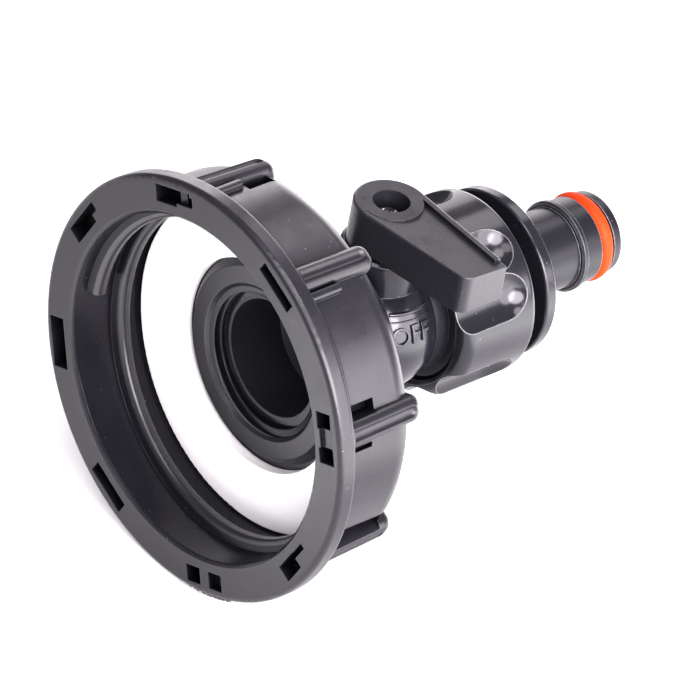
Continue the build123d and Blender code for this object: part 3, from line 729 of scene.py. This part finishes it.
def turning_lines(paint, reach, depth):
    """Within a reach from the X axis, add fine rings; the depth is in millimetres."""
    tree = paint.node_tree
    socket = tree.nodes["Principled BSDF"].inputs["Normal"]
    split = add_node(tree, "SeparateXYZ", Vector=object_place(tree)).outputs
    ring_place = add_node(
        tree,
        "CombineXYZ",
        X=maths(tree, "MULTIPLY", split["X"], RINGS_A_METRE),
        Y=maths(tree, "ARCTAN2", split["Z"], split["Y"]),
    )
    bump = add_node(
        tree,
        "Bump",
        Strength=within(tree, reach),
        Distance=depth * MM,
        Height=noise(tree, ring_place.outputs["Vector"], 1.0, roughness=0.7),
        Normal=socket.links[0].from_socket,
    )
    plug(tree, bump.outputs["Normal"], socket)


# %% [markdown]
# ## One finish for each slot
# The black plastics differ mostly in gloss: the cap and the lever are satin, the valve and the
# nut shinier, and the nut's corners carry painted highlight lines on top of their rubbing. The
# gasket is white rubber, the nipple's ring orange, the other rings black, and the lever's screw
# is steel. All of them are the same recipe with other numbers, and rubber and steel shine the
# same all over.

# %% Materials by slot
# Name, colour, roughness, and what differs from the usual
FINISHES = [
    ("cap_plastic", (0.0105, 0.0100, 0.0130), 0.31, {"corner": 0.30}),
    ("valve_plastic", (0.0115, 0.0112, 0.0150), 0.17, {"grain": 0.006}),
    ("lever_plastic", (0.0165, 0.0160, 0.0195), 0.30, {"mottle": 0.04, "grain": 0.004}),
    # The nut's large edge value paints highlight lines along its corners.
    (
        "nut_plastic",
        (0.0100, 0.0098, 0.0130),
        0.17,
        {"grain": 0.004, "corner": 0.34, "edge_wear_and_highlight": 0.45},
    ),
    (
        "white_rubber",
        (0.96, 0.96, 0.955),
        0.6,
        {"mottle": 0.01, "dust": 0.9, "nook_shade": 1.0, "shine": 0.5},
    ),
    ("black_rubber", (0.010, 0.010, 0.011), 0.55, {}),
    (
        "orange_rubber",
        (0.42, 0.034, 0.0015),
        0.6,
        {"mottle": 0.05, "dust": 0.9, "nook_shade": 0.7, "shine": 0.2},
    ),
    ("seat_plastic", (0.70, 0.69, 0.66), 0.35, {"mottle": 0.03, "nook_shade": 0.9, "shine": 0.5}),
    ("ball_plastic", (0.010, 0.010, 0.011), 0.14, {"grain": 0.003}),
    (
        "screw_steel",
        (0.75, 0.75, 0.76),
        0.10,
        {"mottle": 0.06, "corner": 0.25, "nook_shade": 1.0, "shine": 0.5},
    ),
]
paints = {
    name: moulded(name, color, roughness, **more) for name, color, roughness, more in FINISHES
}
steel_shader = paints["screw_steel"].node_tree.nodes["Principled BSDF"]
steel_shader.inputs["Metallic"].default_value = 1.0
print("materials:", len(paints))

# %% Polish of the inner surfaces
CAP_MOUTH_R = 30.7 * MM
CAP_CORE_R = 29.4 * MM
VALVE_BORE_REACH = 11.0 * MM
NIPPLE_REACH = 11.0 * MM
LEVER_HOLE_R = 3.3 * MM

inner_polish(paints["cap_plastic"], CAP_MOUTH_R, roughness=0.18, shine=0.16)
inner_polish(paints["cap_plastic"], CAP_CORE_R, roughness=0.34, shine=0.70)
turning_lines(paints["cap_plastic"], CAP_CORE_R, depth=0.012)
inner_polish(paints["valve_plastic"], VALVE_BORE_REACH, roughness=0.50, shine=0.9)
inner_polish(paints["nut_plastic"], NIPPLE_REACH, roughness=0.30, shine=0.30)
inner_polish(
    paints["lever_plastic"],
    LEVER_HOLE_R,
    roughness=0.35,
    shine=0.05,
    squash=(1.0, 1.0, 0.0),
    start=(STEM_X, 0.0, 0.0),
)
print("nodes in the cap's finish:", len(paints["cap_plastic"].node_tree.nodes))

# %% Every piece gets its slot's material
for part in frame["record"]["subparts"]:
    for material_slot in nodes[part["node"]].material_slots:
        material_slot.material = paints[part["material_slot"]]
for piece in own_pieces:
    piece.data.materials.clear()
    piece.data.materials.append(paints[piece["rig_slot"]])
print("dressed:", len(nodes), "solids and", len(own_pieces), "own pieces")


# %% [markdown]
# ## Measure again
# The finish mustn't make the part larger than the solids say, so the box round everything is
# measured again and its growth on each axis is printed.

# %% Finish
visual_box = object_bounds()
for axis, cad_low, cad_high, low, high in zip("XYZ", *cad_box, *visual_box):
    grown = (high - low) - (cad_high - cad_low)
    print(axis, "grown by", round(grown / MM, 3), "mm")
